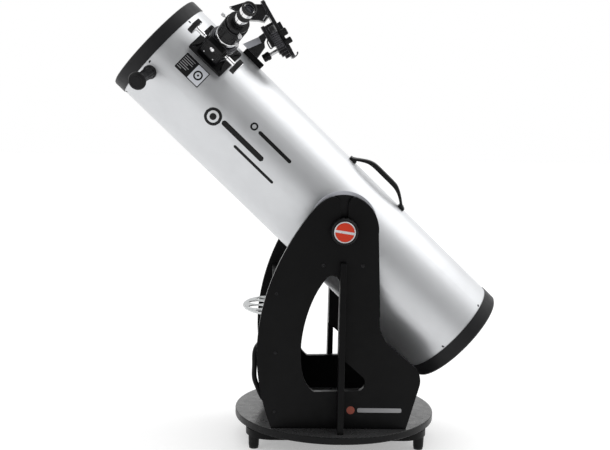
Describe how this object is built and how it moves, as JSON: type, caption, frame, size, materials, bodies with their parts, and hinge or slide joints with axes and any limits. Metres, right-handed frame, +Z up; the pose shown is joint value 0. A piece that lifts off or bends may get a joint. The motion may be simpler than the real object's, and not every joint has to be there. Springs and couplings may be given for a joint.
{
  "type": "dobsonian telescope",
  "caption": "Newtonian reflector tube on a low rotating altitude-azimuth rocker base, with side panels, focuser, eyepiece, phone dock, carry handles and eyepiece rack.",
  "frame": {"origin": "on the azimuth axis, on the floor plane under the three feet", "axes": "+Z up along the azimuth axis; Y along the altitude axis, with +Y on the far side from the focuser; the open front of the tube points towards -X and up at rest"},
  "size_m": [1.0785, 0.6248, 1.2304],
  "materials": {
    "black_laminate": "black textured melamine laminate on particle board",
    "black_rubber": "matt",
    "white_nylon": "smooth nylon",
    "bright_steel": "bright plated",
    "black_screws": "black oxide",
    "grey_plastic": "light grey moulded",
    "black_plastic": "satin moulded",
    "orange_badge": "orange and silver domed disc",
    "silver_paint": "satin metallic silver",
    "black_paint": "satin black",
    "black_aluminium": "black anodised",
    "mirror": "aluminised glass",
    "knurled_rubber": "ribbed",
    "chrome": "bright",
    "lens_glass": "coated"
  },
  "bodies": {
    "ground_base": {"ground_board": "black_laminate", "leveling_feet": "black_rubber", "azimuth_pads": "white_nylon", "azimuth_pivot_bolt": "bright_steel"},
    "rocker": {"turntable_disc": "black_laminate", "near_side_panel": "black_laminate", "far_side_panel": "black_laminate", "near_stiffening_rib": "black_laminate", "far_stiffening_rib": "black_laminate", "front_board": "black_laminate", "altitude_support_pads": "white_nylon", "rocker_screws": "black_screws", "eyepiece_rack": "grey_plastic", "base_carry_handle": "black_plastic"},
    "optical_tube": {"tube_shell": "silver_paint", "front_ring": "black_paint", "rear_ring": "black_paint", "tube_screws": "black_screws", "tube_carry_handle": "black_plastic", "spider": "black_aluminium", "secondary_mirror": "mirror", "secondary_holder": "black_aluminium", "primary_mirror": "mirror", "mirror_cell": "black_paint", "collimation_springs": "bright_steel", "bearing_brackets": "black_plastic", "altitude_bearing_discs": "black_plastic", "steering_knob": "black_plastic", "focuser_base": "black_aluminium", "focuser_body": "black_aluminium", "finder_shoe": "black_plastic"},
    "near_tension": {"near_tension_knob": "black_plastic", "near_knob_badge": "orange_badge"},
    "far_tension": {"far_tension_knob": "black_plastic", "far_knob_badge": "orange_badge"},
    "focus_tube": {"drawtube": "chrome", "drawtube_clamp": "black_aluminium"},
    "focus_pinion": {"pinion_shaft": "chrome", "focus_knobs": "knurled_rubber"},
    "clamp_screw_1": {"drawtube_thumbscrew_1": "bright_steel"},
    "clamp_screw_2": {"drawtube_thumbscrew_2": "bright_steel"},
    "adapter": {"eyepiece_adapter": "black_aluminium"},
    "adapter_screw": {"adapter_thumbscrew": "bright_steel"},
    "eyepiece": {"eyepiece_body": "chrome", "eyepiece_grip": "knurled_rubber", "eyepiece_eyecup": "knurled_rubber", "eyepiece_lens": "lens_glass"},
    "collimator_1": {"collimation_knob_1": "black_plastic"},
    "collimator_2": {"collimation_knob_2": "black_plastic"},
    "collimator_3": {"collimation_knob_3": "black_plastic"},
    "dock": {"dock_bracket": "black_plastic"},
    "shoe_screw": {"shoe_thumbscrew": "bright_steel"},
    "dock_stage": {"dock_carriage": "black_plastic"},
    "dock_lock": {"dock_lock_knob": "black_plastic"},
    "sideways_knob": {"dock_sideways_knob": "black_plastic"},
    "lengthwise_knob": {"dock_lengthwise_knob": "black_plastic"},
    "phone_holder": {"phone_tray": "black_plastic", "dock_mirror_housing": "black_plastic", "dock_mirror": "mirror"},
    "phone_jaw": {"phone_clamp": "black_plastic"}
  },
  "joints": [
    {"name": "azimuth_turn", "type": "hinge", "parent": "ground_base", "child": "rocker", "pos_m": [0, 0, 0.08], "axis": [0, 0, 1], "continuous": true},
    {"name": "altitude_tilt", "type": "hinge", "parent": "rocker", "child": "optical_tube", "pos_m": [0, 0, 0.6192], "axis": [0, 1, 0], "range_deg": [-43.1, 46.8]},
    {"name": "near_tension_turn", "type": "hinge", "parent": "optical_tube", "child": "near_tension", "pos_m": [0, -0.222, 0.6192], "axis": [0, -1, 0], "range_deg": [-180, 180]},
    {"name": "far_tension_turn", "type": "hinge", "parent": "optical_tube", "child": "far_tension", "pos_m": [0, 0.222, 0.6192], "axis": [0, 1, 0], "range_deg": [-180, 180]},
    {"name": "focus_travel", "type": "slide", "parent": "optical_tube", "child": "focus_tube", "axis": [0.3992, -0.8121, 0.4257], "range_m": [-0.006, 0.036]},
    {"name": "focus_knob_turn", "type": "hinge", "parent": "optical_tube", "child": "focus_pinion", "pos_m": [-0.34406, -0.20789, 1.09261], "axis": [-0.7294, 0, 0.684], "range_deg": [-530, 90]},
    {"name": "clamp_screw_1_turn", "type": "hinge", "parent": "focus_tube", "child": "clamp_screw_1", "pos_m": [-0.29415, -0.25012, 1.14144], "axis": [-0.7294, 0, 0.684], "range_deg": [-180, 180]},
    {"name": "clamp_screw_2_turn", "type": "hinge", "parent": "focus_tube", "child": "clamp_screw_2", "pos_m": [-0.29252, -0.24529, 1.10682], "axis": [0.2941, -0.3263, -0.8983], "range_deg": [-180, 180]},
    {"name": "adapter_pull", "type": "slide", "parent": "focus_tube", "child": "adapter", "axis": [0.3992, -0.8121, 0.4257], "range_m": [0, 0.03]},
    {"name": "adapter_screw_turn", "type": "hinge", "parent": "adapter", "child": "adapter_screw", "pos_m": [-0.28224, -0.27923, 1.12313], "axis": [0.123, -0.4126, -0.9026], "range_deg": [-180, 180]},
    {"name": "eyepiece_pull", "type": "slide", "parent": "adapter", "child": "eyepiece", "axis": [0.3992, -0.8121, 0.4257], "range_m": [0, 0.03]},
    {"name": "collimation_1_turn", "type": "hinge", "parent": "optical_tube", "child": "collimator_1", "pos_m": [0.41189, 0, 0.39472], "axis": [0.7294, 0, -0.684], "range_deg": [-180, 180]},
    {"name": "collimation_2_turn", "type": "hinge", "parent": "optical_tube", "child": "collimator_2", "pos_m": [0.29081, 0.10219, 0.26561], "axis": [0.7294, 0, -0.684], "range_deg": [-180, 180]},
    {"name": "collimation_3_turn", "type": "hinge", "parent": "optical_tube", "child": "collimator_3", "pos_m": [0.29081, -0.10219, 0.26561], "axis": [0.7294, 0, -0.684], "range_deg": [-180, 180]},
    {"name": "dock_slide", "type": "slide", "parent": "optical_tube", "child": "dock", "axis": [0.7294, 0, -0.684], "range_m": [0, 0.06]},
    {"name": "shoe_screw_turn", "type": "hinge", "parent": "optical_tube", "child": "shoe_screw", "pos_m": [-0.23718, -0.03, 1.06507], "axis": [0, -1, 0], "range_deg": [-180, 180]},
    {"name": "dock_sideways", "type": "slide", "parent": "dock", "child": "dock_stage", "axis": [0, -1, 0], "range_m": [-0.005, 0.005]},
    {"name": "dock_sideways_knob_turn", "type": "hinge", "parent": "dock_stage", "child": "sideways_knob", "pos_m": [-0.15655, -0.0545, 1.11885], "axis": [0.8577, 0, 0.5141], "range_deg": [-370, 370]},
    {"name": "dock_lock_turn", "type": "hinge", "parent": "dock_stage", "child": "dock_lock", "pos_m": [-0.20441, 0, 1.082], "axis": [0.8577, 0, 0.5141], "range_deg": [-180, 180]},
    {"name": "dock_lengthwise", "type": "slide", "parent": "dock_stage", "child": "phone_holder", "axis": [0.5141, 0, -0.8577], "range_m": [-0.005, 0.005]},
    {"name": "dock_lengthwise_knob_turn", "type": "hinge", "parent": "dock_stage", "child": "lengthwise_knob", "pos_m": [-0.16992, -0.0555, 1.14115], "axis": [0.8577, 0, 0.5141], "range_deg": [-370, 370]},
    {"name": "phone_jaw_open", "type": "slide", "parent": "phone_holder", "child": "phone_jaw", "axis": [0, 1, 0], "range_m": [0, 0.015], "stiffness_N_per_m": 150, "springref_m": -0.01}
  ],
  "couplings": [
    {"joint": "focus_knob_turn", "follows": "focus_travel", "rad_per_m": -250},
    {"joint": "dock_sideways_knob_turn", "follows": "dock_sideways", "rad_per_m": 1256.6},
    {"joint": "dock_lengthwise_knob_turn", "follows": "dock_lengthwise", "rad_per_m": 1256.6}
  ]
}
